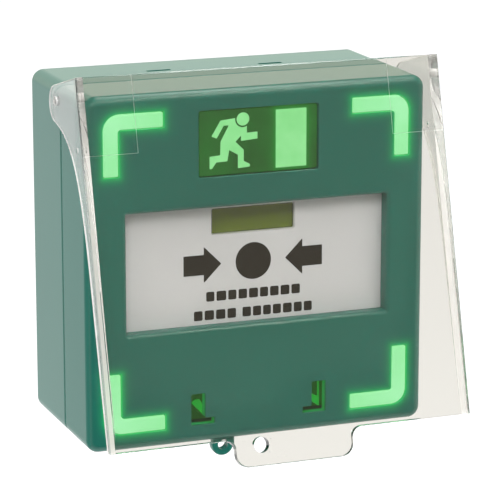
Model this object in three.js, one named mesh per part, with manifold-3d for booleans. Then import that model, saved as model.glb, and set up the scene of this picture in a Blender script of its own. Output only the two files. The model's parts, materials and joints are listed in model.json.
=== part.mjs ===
// Emergency door release call point: a square surface-mounted case with a resettable press panel,
// a lit sign window, four lit corner brackets and a hinged clear cover with a sealing tab.
//
// Units are millimetres. X runs to the right of the person facing the unit, +Z is up, and the wall is
// the plane y = 0, so the unit stands out from it towards -Y. The origin is the centre of the wall face.

import * as THREE from "three";
import { mergeVertices } from "three/addons/utils/BufferGeometryUtils.js";
import Module from "manifold-3d";

// ---------------------------------------------------------------- driving dimensions

const GAP = 0.3; // clearance between neighbouring pieces

// Case
const CASE = 87; // width and height
const DEPTH = 43; // wall face to front face
const BOX_DEPTH = 24; // wall face to parting line
const CORNER_R = 3; // corners of the square
const FRONT_EDGE_R = 1.6; // rounding all round the front face
const BOX_WALL = 2.2;
const HOUSING_WALL = 2.7;
const PLATE = 2.5; // thickness of the back plate and of the front plate

// Hinged cover, in the closed position
const COVER_OPEN_DEG = 14.8; // how far it stands open at rest
const HINGE_Y = -27.8;
const HINGE_Z = 40.5;
const COVER_HALF = 46; // half of the outer width
const COVER_T = 2; // thickness of the plate
const FLANGE_T = 2.1; // thickness of the side flanges
const COVER_FRONT = -18.4; // front surface, from the hinge axis
const COVER_TOP = 3.9; // top edge, from the hinge axis
const COVER_BOTTOM = -83.8; // bottom edge, from the hinge axis
const TAB_HALF = 14.9;
const TAB_DROP = 6.7; // how far the tab hangs below the cover
const TAB_R = 3.1;
const SEAL_X = -8.5; // sealing hole and eyelet
const SEAL_Z = -45; // height of both holes when the cover is shut
const PIN_R = 0.9;

// Lit corner brackets
const BRACKET_OUT = 39.2; // outer edge, from the centre
const BRACKET_ARM = 15.1; // length of each arm
const BRACKET_BAR = 3.9; // width of each arm
const BRACKET_R = 4; // outer corner

// Sign window
const SIGN_W = 30.7;
const SIGN_H = 16.2;
const SIGN_Z = 30.5;

// Press panel
const OPENING_W = 69.2; // at the front face
const OPENING_H = 31.6;
const OPENING_CHAMFER = 1;
const PANEL_Y = -39; // front face of the panel
const PANEL_T = 1.6;
const PANEL_W = 69.8;
const PANEL_H = 34;
const WINDOW_W = 21.5;
const WINDOW_H = 6.5;
const WINDOW_Z = 10.45;
const PUSHER_X = 24;
const PUSHER_Z = -8;

// Reset slots, of L section, and the slider behind them
const SLOT_IN = 13.9; // upright part, from the centre plane
const SLOT_OUT = 17.6;
const SLOT_FOOT = 11.5; // how far the foot reaches inwards
const SLOT_TOP = -31;
const SLOT_BOTTOM = -38.9;
const SLOT_FOOT_TOP = -37.2;

// Depths of the inner pieces, back to front
const CHASSIS_BACK = -32.4;
const CHASSIS_FRONT = -34;
const MAIN_BOARD_BACK = -18.4;
const BOARD_T = 1.6;
const SLIDER_BACK = -36.9;
const SLIDER_FRONT = -39.9;

// ---------------------------------------------------------------- solids

const wasm = await Module();
wasm.setup();

// A closed geometry as a solid that can be joined and cut.
function solid(geometry) {
  const bare = geometry.clone();
  bare.deleteAttribute("normal");
  bare.deleteAttribute("uv");
  const merged = mergeVertices(bare, 1e-4);
  return new wasm.Manifold(
    new wasm.Mesh({
      numProp: 3,
      vertProperties: new Float32Array(merged.attributes.position.array),
      triVerts: new Uint32Array(merged.index.array),
    }),
  );
}

// A solid back as a geometry.
function geometryOf(body) {
  const mesh = body.getMesh();
  const geometry = new THREE.BufferGeometry();
  geometry.setAttribute("position", new THREE.BufferAttribute(mesh.vertProperties, 3));
  geometry.setIndex(new THREE.BufferAttribute(mesh.triVerts, 1));
  geometry.computeVertexNormals();
  return geometry;
}

const join = (first, ...others) => others.reduce((sum, next) => sum.add(next), first);
const cut = (first, ...others) => others.reduce((rest, next) => rest.subtract(next), first);

// An outline drawn in (x, z) as seen from the front, made solid between two depths.
function slab(shape, yBack, yFront, bevel = 0) {
  const geometry = new THREE.ExtrudeGeometry(shape, {
    depth: yBack - yFront - 2 * bevel,
    curveSegments: 5,
    bevelEnabled: bevel > 0,
    bevelThickness: bevel,
    bevelSize: bevel,
    bevelOffset: -bevel,
    bevelSegments: 3,
  });
  geometry.rotateX(Math.PI / 2);
  geometry.translate(0, yBack - bevel, 0);
  return solid(geometry);
}

// A block given by its lowest and highest corners.
function block(low, high) {
  const size = high.map((value, axis) => value - low[axis]);
  const geometry = new THREE.BoxGeometry(...size);
  geometry.translate(...low.map((value, axis) => value + size[axis] / 2));
  return solid(geometry);
}

// A cylinder along "x", "y" or "z", centred on the other two coordinates, from one place to another.
function rod(axis, radius, from, to, [a, b], sides = 20) {
  const geometry = new THREE.CylinderGeometry(radius, radius, to - from, sides);
  const middle = (from + to) / 2;
  if (axis === "x") {
    geometry.rotateZ(Math.PI / 2);
    geometry.translate(middle, a, b);
  } else if (axis === "y") {
    geometry.translate(a, middle, b);
  } else {
    geometry.rotateX(Math.PI / 2);
    geometry.translate(a, b, middle);
  }
  return solid(geometry);
}

// A rectangle with round corners.
function roundRect(width, height, radius, x = 0, z = 0) {
  const right = x + width / 2 - radius;
  const left = x - width / 2 + radius;
  const top = z + height / 2 - radius;
  const bottom = z - height / 2 + radius;
  const shape = new THREE.Shape();
  shape.absarc(right, top, radius, 0, Math.PI / 2);
  shape.absarc(left, top, radius, Math.PI / 2, Math.PI);
  shape.absarc(left, bottom, radius, Math.PI, 1.5 * Math.PI);
  shape.absarc(right, bottom, radius, 1.5 * Math.PI, 2 * Math.PI);
  return shape;
}

const rect = (width, height, x = 0, z = 0) =>
  new THREE.Shape([
    new THREE.Vector2(x - width / 2, z - height / 2),
    new THREE.Vector2(x + width / 2, z - height / 2),
    new THREE.Vector2(x + width / 2, z + height / 2),
    new THREE.Vector2(x - width / 2, z + height / 2),
  ]);

const polygon = (points) => new THREE.Shape(points.map(([x, z]) => new THREE.Vector2(x, z)));

// ---------------------------------------------------------------- outlines

// The corner bracket of the top right corner, grown outwards by the given amount.
function bracketShape(grow) {
  const out = BRACKET_OUT + grow;
  const end = BRACKET_OUT - BRACKET_ARM - grow;
  const inner = BRACKET_OUT - BRACKET_BAR - grow;
  const radius = BRACKET_R + grow;
  const shape = new THREE.Shape();
  shape.moveTo(out, end);
  shape.lineTo(out, out - radius);
  shape.absarc(out - radius, out - radius, radius, 0, Math.PI / 2);
  shape.lineTo(end, out);
  shape.lineTo(end, inner);
  shape.lineTo(inner, inner);
  shape.lineTo(inner, end);
  return shape;
}

// The same bracket in corner 0 to 3, counted clockwise from the top right.
const bracket = (corner, grow, yBack, yFront) =>
  slab(bracketShape(grow), yBack, yFront).rotate([0, 90 * corner, 0]);

// A reset slot, left (side -1) or right (side 1), with its foot towards the middle.
const slotShape = (side) =>
  polygon(
    [
      [SLOT_OUT, SLOT_BOTTOM],
      [SLOT_OUT, SLOT_TOP],
      [SLOT_IN, SLOT_TOP],
      [SLOT_IN, SLOT_FOOT_TOP],
      [SLOT_FOOT, SLOT_FOOT_TOP],
      [SLOT_FOOT, SLOT_BOTTOM],
    ].map(([x, z]) => [side * x, z]),
  );

// ---------------------------------------------------------------- case

const half = CASE / 2;
const boxInner = CASE - 2 * BOX_WALL;
const housingInner = CASE - 2 * HOUSING_WALL;
const housingBack = -BOX_DEPTH - GAP / 2;
const frontInside = -DEPTH + PLATE;
const hook = { x: 14.7, y: -13, width: 6.2, depth: 1.5 }; // snap slots in the top of the box
const caseScrew = { x: 28, y: -16 };
const SIDES = [-1, 1];

function backBox() {
  const shell = slab(roundRect(CASE, CASE, CORNER_R), 0, -BOX_DEPTH + GAP / 2);
  const hollow = slab(roundRect(boxInner, boxInner, CORNER_R - 1), -PLATE, -BOX_DEPTH - 1);
  const cableEntry = rod("y", 9, -PLATE - 1, 1, [0, 20], 32);
  const openings = SIDES.flatMap((side) => [
    slab(roundRect(9, 4.4, 2.1, side * 30.15, 0), 1, -PLATE - 1),
    block(
      [side * hook.x - hook.width / 2, hook.y - hook.depth / 2, half - BOX_WALL - 1],
      [side * hook.x + hook.width / 2, hook.y + hook.depth / 2, half + 1],
    ),
    rod("z", 1.7, -half - 1, -half + BOX_WALL + 1, [side * caseScrew.x, caseScrew.y], 16),
    rod("z", 3.1, -half - 1, -half + 1, [side * caseScrew.x, caseScrew.y], 20),
  ]);
  return cut(shell, hollow, cableEntry, ...openings);
}

// The opening for the press panel: a chamfered mouth, then straight walls.
function panelOpening() {
  const innerW = OPENING_W - 2 * OPENING_CHAMFER;
  const innerH = OPENING_H - 2 * OPENING_CHAMFER;
  const mouth = new THREE.CylinderGeometry(1, 1 - 2 / OPENING_W, 1, 4, 1);
  mouth.rotateY(Math.PI / 4);
  mouth.scale(Math.SQRT1_2 * OPENING_W, OPENING_CHAMFER, Math.SQRT1_2 * OPENING_H);
  mouth.rotateX(Math.PI);
  mouth.translate(0, -DEPTH + OPENING_CHAMFER / 2, 0);
  return join(
    slab(roundRect(innerW, innerH, 0.6), -38, -DEPTH - 1),
    slab(rect(OPENING_W, OPENING_H), -DEPTH, -DEPTH - 1),
    solid(mouth),
  );
}

function frontHousing() {
  const outer = cut(
    slab(roundRect(CASE, CASE, CORNER_R), 0, -DEPTH, FRONT_EDGE_R),
    block([-50, housingBack, -50], [50, 1, 50]),
  );
  const hollow = slab(roundRect(housingInner, housingInner, 1.5), 1, frontInside);
  const lipW = housingInner + 0.4;
  const lip = cut(
    slab(roundRect(lipW, lipW, 1.7), housingBack + 2.6, housingBack - 3),
    slab(roundRect(lipW - 3.2, lipW - 3.2, 1.2), 1, -DEPTH + 5),
  );
  const panelWall = slab(roundRect(PANEL_W - 0.6, PANEL_H - 0.6, 1), PANEL_Y - 0.4, frontInside - 1);
  const tongues = SIDES.flatMap((side) => [
    block([side * hook.x - 2.6, housingBack - 2, 39], [side * hook.x + 2.6, hook.y + 1.2, 40.9]),
    block([side * hook.x - 2.6, hook.y - 0.4, 40.5], [side * hook.x + 2.6, hook.y + 0.4, 42.8]),
    block([side * caseScrew.x - 4, housingBack - 2, -40.9], [side * caseScrew.x + 4, caseScrew.y + 4, -37.9]),
  ]);
  const posts = SIDES.flatMap((side) =>
    [-21, 21].map((z) => rod("y", 2, frontInside - 1, CHASSIS_FRONT - GAP, [side * 38.3, z], 14)),
  );
  const eyelet = join(
    rod("y", 2.8, -41.2, -38.8, [SEAL_X, SEAL_Z - 0.2], 28),
    block([SEAL_X - 2.8, -41.2, SEAL_Z - 0.2], [SEAL_X + 2.8, -38.8, -half + 0.5]),
  );
  const openings = [
    panelOpening(),
    slab(roundRect(SIGN_W, SIGN_H, 0.5, 0, SIGN_Z), -38, -DEPTH - 1),
    rod("y", 1.3, -42, -38, [SEAL_X, SEAL_Z - 0.2], 20),
    ...[0, 1, 2, 3].map((corner) => bracket(corner, 0, -38, -DEPTH - 1)),
    ...SIDES.map((side) => slab(slotShape(side), -38, -DEPTH - 1)),
    ...SIDES.map((side) =>
      rod("x", PIN_R + 0.3, side * (half - 0.5) - 1.6, side * (half - 0.5) + 1.6, [HINGE_Y, HINGE_Z], 20),
    ),
    ...SIDES.map((side) => rod("z", 1.1, -42, -36, [side * caseScrew.x, caseScrew.y], 14)),
    ...SIDES.flatMap((side) =>
      [-21, 21].map((z) => rod("y", 0.9, -38, CHASSIS_FRONT + 1, [side * 38.3, z], 12)),
    ),
  ];
  return cut(join(cut(outer, hollow), lip, panelWall, eyelet, ...tongues, ...posts), ...openings);
}

// ---------------------------------------------------------------- lenses

const cornerLens = (corner) =>
  join(bracket(corner, -0.2, -40, -DEPTH), bracket(corner, 0.5, -37.6, frontInside + GAP));

const signLens = () =>
  join(
    slab(roundRect(SIGN_W - 0.5, SIGN_H - 0.5, 0.4, 0, SIGN_Z), -40, -DEPTH + 0.5),
    slab(roundRect(SIGN_W + 2, SIGN_H + 2, 1, 0, SIGN_Z), -38.4, frontInside + GAP),
  );

// ---------------------------------------------------------------- cover

// Both are drawn shut, from the hinge axis; the group that holds them stands open.
function coverPlateShape() {
  const low = COVER_BOTTOM - TAB_DROP;
  const fillet = 2.6;
  const shape = new THREE.Shape();
  shape.moveTo(COVER_HALF, COVER_TOP);
  shape.lineTo(-COVER_HALF, COVER_TOP);
  shape.lineTo(-COVER_HALF, COVER_BOTTOM);
  shape.absarc(-TAB_HALF - fillet, COVER_BOTTOM - fillet, fillet, Math.PI / 2, 0, true);
  shape.absarc(-TAB_HALF + TAB_R, low + TAB_R, TAB_R, Math.PI, 1.5 * Math.PI);
  shape.absarc(TAB_HALF - TAB_R, low + TAB_R, TAB_R, 1.5 * Math.PI, 2 * Math.PI);
  shape.absarc(TAB_HALF + fillet, COVER_BOTTOM - fillet, fillet, Math.PI, Math.PI / 2, true);
  shape.lineTo(COVER_HALF, COVER_BOTTOM);
  return shape;
}

// Side flange in (y, z): a round ear about the hinge that sweeps down into the edge of the plate.
function flangeShape() {
  const ear = { y: 0.5, z: -0.6, radius: 4.5 };
  const shape = new THREE.Shape();
  shape.moveTo(COVER_FRONT, COVER_TOP);
  shape.lineTo(COVER_FRONT, COVER_BOTTOM);
  shape.lineTo(COVER_FRONT + COVER_T, COVER_BOTTOM);
  shape.lineTo(-15.2, -46);
  shape.bezierCurveTo(-14.5, -20, -11, -10, ear.y + 2, ear.z - 4.03);
  shape.absarc(ear.y, ear.z, ear.radius, -1.11, Math.PI / 2);
  return shape;
}

function flange(side) {
  const geometry = new THREE.ExtrudeGeometry(flangeShape(), {
    depth: FLANGE_T,
    curveSegments: 9,
    bevelEnabled: false,
  });
  // The outline's (x, y) is the flange's (y, z), so the thickness comes to lie along X.
  const turn = new THREE.Matrix4().makeBasis(
    new THREE.Vector3(0, 1, 0),
    new THREE.Vector3(0, 0, 1),
    new THREE.Vector3(1, 0, 0),
  );
  geometry.applyMatrix4(turn);
  geometry.translate(side > 0 ? COVER_HALF - FLANGE_T : -COVER_HALF, 0, 0);
  return solid(geometry);
}

function clearCover() {
  const plate = slab(coverPlateShape(), COVER_FRONT + COVER_T, COVER_FRONT);
  const holes = [
    rod("y", 1.9, COVER_FRONT - 1, COVER_FRONT + COVER_T + 1, [SEAL_X, SEAL_Z - HINGE_Z], 24),
    rod("x", PIN_R + 0.25, -COVER_HALF - 1, COVER_HALF + 1, [0, 0], 20),
  ];
  return cut(join(plate, ...SIDES.map(flange)), ...holes);
}

// Pin from the outer face of an ear into the side of the housing.
const hingePin = (side) => {
  const inner = half - 1.9;
  const outer = COVER_HALF - 0.2;
  return rod("x", PIN_R, Math.min(side * inner, side * outer), Math.max(side * inner, side * outer), [
    HINGE_Y,
    HINGE_Z,
  ]);
};

// ---------------------------------------------------------------- press panel and flag

const panelBack = PANEL_Y + PANEL_T;

function pressPanel() {
  const plate = slab(roundRect(PANEL_W, PANEL_H, 1), panelBack, PANEL_Y);
  const pushers = SIDES.map((side) =>
    rod("y", 2, panelBack - 0.5, CHASSIS_BACK - 0.2, [side * PUSHER_X, PUSHER_Z]),
  );
  const rails = SIDES.map((side) => {
    const middle = side * (WINDOW_W / 2 + 3.4);
    return block([middle - 0.6, panelBack - 0.5, -3], [middle + 0.6, panelBack + 1.2, 15.8]);
  });
  const window = slab(roundRect(WINDOW_W, WINDOW_H, 0.5, 0, WINDOW_Z), -36, PANEL_Y - 1);
  return cut(join(plate, ...pushers, ...rails), window);
}

const flagWindow = () =>
  slab(roundRect(WINDOW_W - 0.5, WINDOW_H - 0.5, 0.4, 0, WINDOW_Z), panelBack - 0.1, PANEL_Y + 0.3);

const flagShutter = () =>
  join(
    slab(rect(WINDOW_W + 4, WINDOW_H + 1.6, 0, WINDOW_Z), panelBack + 1.1, panelBack + GAP),
    slab(rect(WINDOW_W - 8, 1.4, 0, WINDOW_Z + 4.4), panelBack + 1.1, panelBack + GAP),
  );

const alarmBand = () => slab(rect(32, 13, 0, WINDOW_Z), CHASSIS_BACK + 1.1, CHASSIS_BACK + GAP);

// ---------------------------------------------------------------- chassis

const chassisHalf = 40.2;
const boardPosts = SIDES.flatMap((side) => [-26, 26].map((z) => [side * 32, z]));
const mainBoardFront = MAIN_BOARD_BACK - BOARD_T;

function chassis() {
  const plate = slab(roundRect(2 * chassisHalf, 2 * chassisHalf, 1), CHASSIS_BACK, CHASSIS_FRONT);
  const rim = cut(
    slab(roundRect(74, 38, 2), CHASSIS_FRONT + 0.5, PANEL_Y - 0.1),
    slab(roundRect(PANEL_W + 0.8, PANEL_H + 0.8, 1.2), CHASSIS_FRONT, PANEL_Y - 1),
  );
  const sliderGuides = SIDES.flatMap((side) => [
    block([side * 21 - 0.6, SLIDER_FRONT, -40.2], [side * 21 + 0.6, CHASSIS_FRONT + 0.5, -20.5]),
    block([side * 7 - 1, SLIDER_BACK + GAP, -40.2], [side * 7 + 1, CHASSIS_FRONT + 0.5, -20.5]),
  ]);
  const posts = boardPosts.map((place) => rod("y", 2.8, CHASSIS_BACK - 0.5, mainBoardFront - GAP, place, 18));
  const holes = [
    slab(rect(WINDOW_W + 5, WINDOW_H + 3, 0, WINDOW_Z), -30, CHASSIS_FRONT - 1),
    ...SIDES.map((side) => rod("y", 2.6, CHASSIS_FRONT - 1, CHASSIS_BACK + 1, [side * PUSHER_X, PUSHER_Z])),
    ...boardPosts.map((place) => rod("y", 1.35, CHASSIS_BACK + 4, -15, place, 14)),
    ...SIDES.flatMap((side) =>
      [-21, 21].map((z) => rod("y", 1.4, CHASSIS_FRONT - 1, CHASSIS_BACK + 1, [side * 38.3, z], 14)),
    ),
  ];
  return cut(join(plate, rim, ...sliderGuides, ...posts), ...holes);
}

// A pan-head screw along Y, with its head towards the wall and a slot across it.
function screwAlongY([x, z], headBack, headT, headR, length, shankR) {
  const head = rod("y", headR, headBack - headT, headBack, [x, z], 12);
  const shank = rod("y", shankR, headBack - headT - length, headBack - headT + 0.2, [x, z], 8);
  const slot = block([x - headR, headBack - 0.5, z - 0.3], [x + headR, headBack + 1, z + 0.3]);
  return cut(join(head, shank), slot);
}

const chassisScrew = (place) => screwAlongY(place, CHASSIS_BACK + 1.6, 1.3, 1.9, 4.6, 0.7);
const boardScrew = (place) => screwAlongY(place, MAIN_BOARD_BACK + 1.6, 1.3, 2.5, 7, 1.1);

// A screw up through the bottom of the case into the front housing's tongue.
function caseScrewSolid(side) {
  const x = side * caseScrew.x;
  const head = rod("z", 2.7, -half + 0.1, -half + 0.8, [x, caseScrew.y], 18);
  const shank = rod("z", 0.9, -half + 0.6, -38.4, [x, caseScrew.y], 8);
  const slot = block([x - 3, caseScrew.y - 0.35, -half - 1], [x + 3, caseScrew.y + 0.35, -half + 0.4]);
  return cut(join(head, shank), slot);
}

// ---------------------------------------------------------------- boards, lamps and switches

const lampBack = CHASSIS_FRONT - GAP;
const lampFront = lampBack - BOARD_T;
const LAMPS = [
  { name: "top_left", x: -37.2, z: 37.2 },
  { name: "top_right", x: 37.2, z: 37.2 },
  { name: "bottom_left", x: -37.2, z: -37.2 },
  { name: "bottom_right", x: 37.2, z: -37.2 },
  { name: "sign_left", x: -8, z: SIGN_Z },
  { name: "sign_right", x: 8, z: SIGN_Z },
];

const topLampBoard = () => slab(roundRect(80, 16.8, 1, 0, 31.8), lampBack, lampFront);
const sideLampBoard = (side) => slab(roundRect(17.4, 16.8, 1, side * 31.3, -31.8), lampBack, lampFront);

const lamp = ({ x, z }) =>
  join(
    block([x - 1.7, lampFront - 0.8, z - 1.4], [x + 1.7, lampFront - 0.2, z + 1.4]),
    rod("y", 1, lampFront - 1.2, lampFront - 0.6, [x, z], 12),
  );

const switchBack = mainBoardFront - GAP;
const switchFront = switchBack - 10;

function switchBody(side) {
  const x = side * PUSHER_X;
  return cut(
    block([x + side * 2 - 10, switchFront, PUSHER_Z - 3.2], [x + side * 2 + 10, switchBack, PUSHER_Z + 3.2]),
    rod("y", 1.4, switchFront - 1, switchFront + 3.4, [x, PUSHER_Z], 14),
    ...[-5, 7].map((along) =>
      rod("z", 1.2, PUSHER_Z - 4, PUSHER_Z + 4, [x + side * along, switchBack - 2.2], 12),
    ),
  );
}

const switchPlunger = (side) =>
  rod("y", 1.1, CHASSIS_BACK + 0.2, switchFront + 1.3, [side * PUSHER_X, PUSHER_Z], 14);

function mainBoard() {
  return cut(
    slab(roundRect(72, 60, 1.5), MAIN_BOARD_BACK, mainBoardFront),
    ...boardPosts.map((place) => rod("y", 1.4, -22, -16, place, 14)),
  );
}

// Terminal block on the back of the main board: screws face the wall, wires come in from below.
const WAYS = 6;
const WAY_PITCH = 5.08;
const wayX = (way) => (way - (WAYS - 1) / 2) * WAY_PITCH;
const terminal = { low: -14, high: -3, back: MAIN_BOARD_BACK + GAP + 10 };

function terminalBlock() {
  const body = block(
    [wayX(0) - 2.7, MAIN_BOARD_BACK + GAP, terminal.low],
    [wayX(WAYS - 1) + 2.7, terminal.back, terminal.high],
  );
  const cuts = Array.from({ length: WAYS }, (_, way) => [
    rod("y", 2, terminal.back - 7, terminal.back + 1, [wayX(way), terminal.high - 3.2], 12),
    block([wayX(way) - 1.7, MAIN_BOARD_BACK + 3, terminal.low - 1], [wayX(way) + 1.7, MAIN_BOARD_BACK + 6, -5]),
  ]).flat();
  return cut(body, ...cuts);
}

const terminalScrew = (way) =>
  screwAlongY([wayX(way), terminal.high - 3.2], terminal.back - 1.2, 1.4, 1.7, 3.6, 1.1);

// ---------------------------------------------------------------- reset slider and springs

// A yoke whose two arms lie behind the reset slots, each with a ramp that the reset tool climbs.
function resetSlider() {
  const bar = slab(rect(40.2, 4, 0, -29), SLIDER_BACK, SLIDER_FRONT);
  const left = polygon([
    [-20.1, -27],
    [-11, -27],
    [-11, -38.6],
    [-13.6, -37.6],
    [-18, -32.2],
    [-20.1, -32.2],
  ]);
  const right = polygon([
    [11, -27],
    [20.1, -27],
    [20.1, -38.6],
    [17.9, -37.6],
    [13.3, -34],
    [11, -34],
  ]);
  const arms = [left, right].map((shape) => slab(shape, SLIDER_BACK, SLIDER_FRONT));
  return join(bar, ...arms);
}

// A round-wire coil spring along an axis, as a tube that is swept along its helix.
class Helix extends THREE.Curve {
  constructor(axis, [x, y, z], radius, length, turns) {
    super();
    Object.assign(this, { axis, x, y, z, radius, length, turns });
  }

  getPoint(t, target = new THREE.Vector3()) {
    const turn = 2 * Math.PI * this.turns * t;
    const a = this.radius * Math.cos(turn);
    const b = this.radius * Math.sin(turn);
    const along = this.length * t;
    return this.axis === "z"
      ? target.set(this.x + a, this.y + b, this.z + along)
      : target.set(this.x + a, this.y + along, this.z + b);
  }
}

function coilSpring(axis, start, radius, length, turns, wireR) {
  const wire = new THREE.Shape();
  wire.absarc(0, 0, wireR, 0, 2 * Math.PI);
  const geometry = new THREE.ExtrudeGeometry(wire, {
    steps: turns * 8,
    curveSegments: 3,
    bevelEnabled: false,
    extrudePath: new Helix(axis, start, radius, length, turns),
  });
  return solid(geometry);
}

const resetSpring = () => coilSpring("z", [0, -38.4, -26.4], 1.4, 6.8, 5, 0.22);
const panelSpring = (side) =>
  coilSpring("y", [side * 30, panelBack + 0.6, 9], 1.8, CHASSIS_FRONT - panelBack - 1.2, 2, 0.22);

// ---------------------------------------------------------------- materials and assembly

const finish = (color, roughness, metalness = 0, extra = {}) =>
  new THREE.MeshStandardMaterial({ color, roughness, metalness, ...extra });

const housingGreen = () => finish(0x0b6a5e, 0.35);
const litGreen = () => finish(0x9bf5a8, 0.4, 0, { emissive: 0x4ad860 });
const steel = () => finish(0xb9bcc0, 0.3, 1);
const boardGreen = () => finish(0x1d5c34, 0.5);
const clear = (opacity) => finish(0xf1f3f1, 0.05, 0, { transparent: true, opacity });

const unit = new THREE.Group();

function place(name, body, material, parent = unit) {
  const mesh = new THREE.Mesh(geometryOf(body), material);
  mesh.name = name;
  parent.add(mesh);
}

const sideName = (side) => (side < 0 ? "left" : "right");

place("back_box", backBox(), housingGreen());
place("front_housing", frontHousing(), housingGreen());

["top_right", "bottom_right", "bottom_left", "top_left"].forEach((corner, turn) =>
  place("corner_lens_" + corner, cornerLens(turn), litGreen()),
);
place("sign_lens", signLens(), finish(0x2f6a3a, 0.25));

const cover = new THREE.Group();
cover.position.set(0, HINGE_Y, HINGE_Z);
cover.rotation.x = THREE.MathUtils.degToRad(-COVER_OPEN_DEG);
unit.add(cover);
place("clear_cover", clearCover(), clear(0.3), cover);

place("press_panel", pressPanel(), finish(0xe6e8e3, 0.4));
place("flag_window", flagWindow(), clear(0.4));
place("flag_shutter", flagShutter(), finish(0x6a7340, 0.5));
place("alarm_band", alarmBand(), finish(0xe8c420, 0.5));
place("chassis", chassis(), finish(0x16402f, 0.5));
place("reset_slider", resetSlider(), finish(0x2aa83a, 0.4));
place("reset_spring", resetSpring(), steel());

place("top_lamp_board", topLampBoard(), boardGreen());
place("main_board", mainBoard(), boardGreen());
place("terminal_block", terminalBlock(), finish(0x2f6fa8, 0.5));
LAMPS.forEach((spec) => place("lamp_" + spec.name, lamp(spec), finish(0xe9f5d8, 0.3)));
Array.from({ length: WAYS }, (_, way) => place("terminal_screw_" + (way + 1), terminalScrew(way), steel()));
boardPosts.forEach((at, index) => place("board_screw_" + (index + 1), boardScrew(at), steel()));

SIDES.forEach((side) => {
  const suffix = sideName(side);
  place("hinge_pin_" + suffix, hingePin(side), clear(0.4));
  place("lamp_board_" + suffix, sideLampBoard(side), boardGreen());
  place("microswitch_" + suffix, switchBody(side), finish(0x1a1a1c, 0.45));
  place("switch_plunger_" + suffix, switchPlunger(side), finish(0xc23127, 0.4));
  place("panel_spring_" + suffix, panelSpring(side), steel());
  place("case_screw_" + suffix, caseScrewSolid(side), steel());
  [-21, 21].forEach((z) => {
    const level = z < 0 ? "bottom" : "top";
    place(`chassis_screw_${level}_${suffix}`, chassisScrew([side * 38.3, z]), steel());
  });
});

export default unit;
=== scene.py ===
"""Looks of the emergency door release call point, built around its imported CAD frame.

Outlines are drawn in millimetres in (x, z), as seen from the front, and placed by their depth y.
The cover is drawn shut, from its hinge axis, and then turned to where the frame holds it at rest.
"""
import json
import math

import bmesh
import bpy
from mathutils import Matrix, Vector


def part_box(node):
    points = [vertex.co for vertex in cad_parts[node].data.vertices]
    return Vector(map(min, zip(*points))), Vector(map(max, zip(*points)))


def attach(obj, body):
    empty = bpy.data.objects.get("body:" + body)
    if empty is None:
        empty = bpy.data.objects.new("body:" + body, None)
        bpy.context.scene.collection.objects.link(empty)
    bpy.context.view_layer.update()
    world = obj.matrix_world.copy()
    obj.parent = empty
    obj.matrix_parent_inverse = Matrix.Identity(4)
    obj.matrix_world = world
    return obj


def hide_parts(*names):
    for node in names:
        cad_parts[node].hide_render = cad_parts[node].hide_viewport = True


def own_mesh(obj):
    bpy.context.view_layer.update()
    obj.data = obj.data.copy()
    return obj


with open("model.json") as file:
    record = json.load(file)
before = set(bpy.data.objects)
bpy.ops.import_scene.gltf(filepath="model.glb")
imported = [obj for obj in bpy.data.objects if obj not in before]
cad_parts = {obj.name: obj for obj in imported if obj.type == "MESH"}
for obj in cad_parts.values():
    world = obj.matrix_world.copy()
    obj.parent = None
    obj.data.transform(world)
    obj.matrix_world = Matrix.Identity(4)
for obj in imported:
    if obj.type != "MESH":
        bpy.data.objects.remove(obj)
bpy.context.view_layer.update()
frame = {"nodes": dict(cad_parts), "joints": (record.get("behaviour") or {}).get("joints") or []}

MM = 0.001
SIDE_NAMES = {-1: "left", 1: "right"}
SIDES = tuple(SIDE_NAMES)


def box_mm(node):
    """Lowest and highest corner of a CAD node, in millimetres."""
    low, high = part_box(node)
    return Vector(low) / MM, Vector(high) / MM


def joint_named(name):
    return next(joint for joint in frame["joints"] if joint["name"] == name)


# ------------------------------------------------------------------ camera


def make_camera():
    """The photograph's viewpoint: slightly left of the unit, above it, with a long lens."""
    data = bpy.data.cameras.new("camera")
    data.sensor_width = 36.0
    data.lens = 200.8
    data.clip_end = 50.0
    camera = bpy.data.objects.new("camera", data)
    yaw, pitch = math.radians(20.9), math.radians(13.7)
    camera.location = (-0.2353, -0.6537, 0.1631)
    camera.rotation_euler = (math.pi / 2 - pitch, 0.0, -yaw)
    bpy.context.scene.collection.objects.link(camera)
    bpy.context.scene.camera = camera


make_camera()

# ------------------------------------------------------------------ sizes, from the frame

BOX_LOW, BOX_HIGH = box_mm("back_box")
HALF = BOX_HIGH.x
CASE = 2 * HALF
FRONT = box_mm("front_housing")[0].y
PART_BACK = BOX_LOW.y
PART_FRONT = PART_BACK - 0.3
CORNER_R = 3.0
FRONT_EDGE_R = 2.3
PLATE = 2.5
WALL = 2.7
BOX_WALL = 2.2
INSIDE = FRONT + PLATE

HINGE = joint_named("cover_hinge")
HINGE_Y, HINGE_Z = HINGE["pos_m"][1] / MM, HINGE["pos_m"][2] / MM
OPEN_ANGLE = math.radians(-HINGE["range_deg"][0])
COVER_HALF = box_mm("clear_cover")[1].x
COVER_T = 2.0
FLANGE_T = 2.1
COVER_FRONT = -18.4
COVER_TOP = 3.9
COVER_BOTTOM = -83.8
TAB_HALF, TAB_DROP, TAB_R, TAB_FILLET = 14.9, 6.7, 3.1, 2.6
SEAL_X, SEAL_Z = -8.5, -45.0
PIN_R = 0.9

SNAP_X, SNAP_Y = 14.7, -13.0
FIXING_X = 30.15
CLOSING_X, CLOSING_Y = 28.0, -16.0

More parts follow.
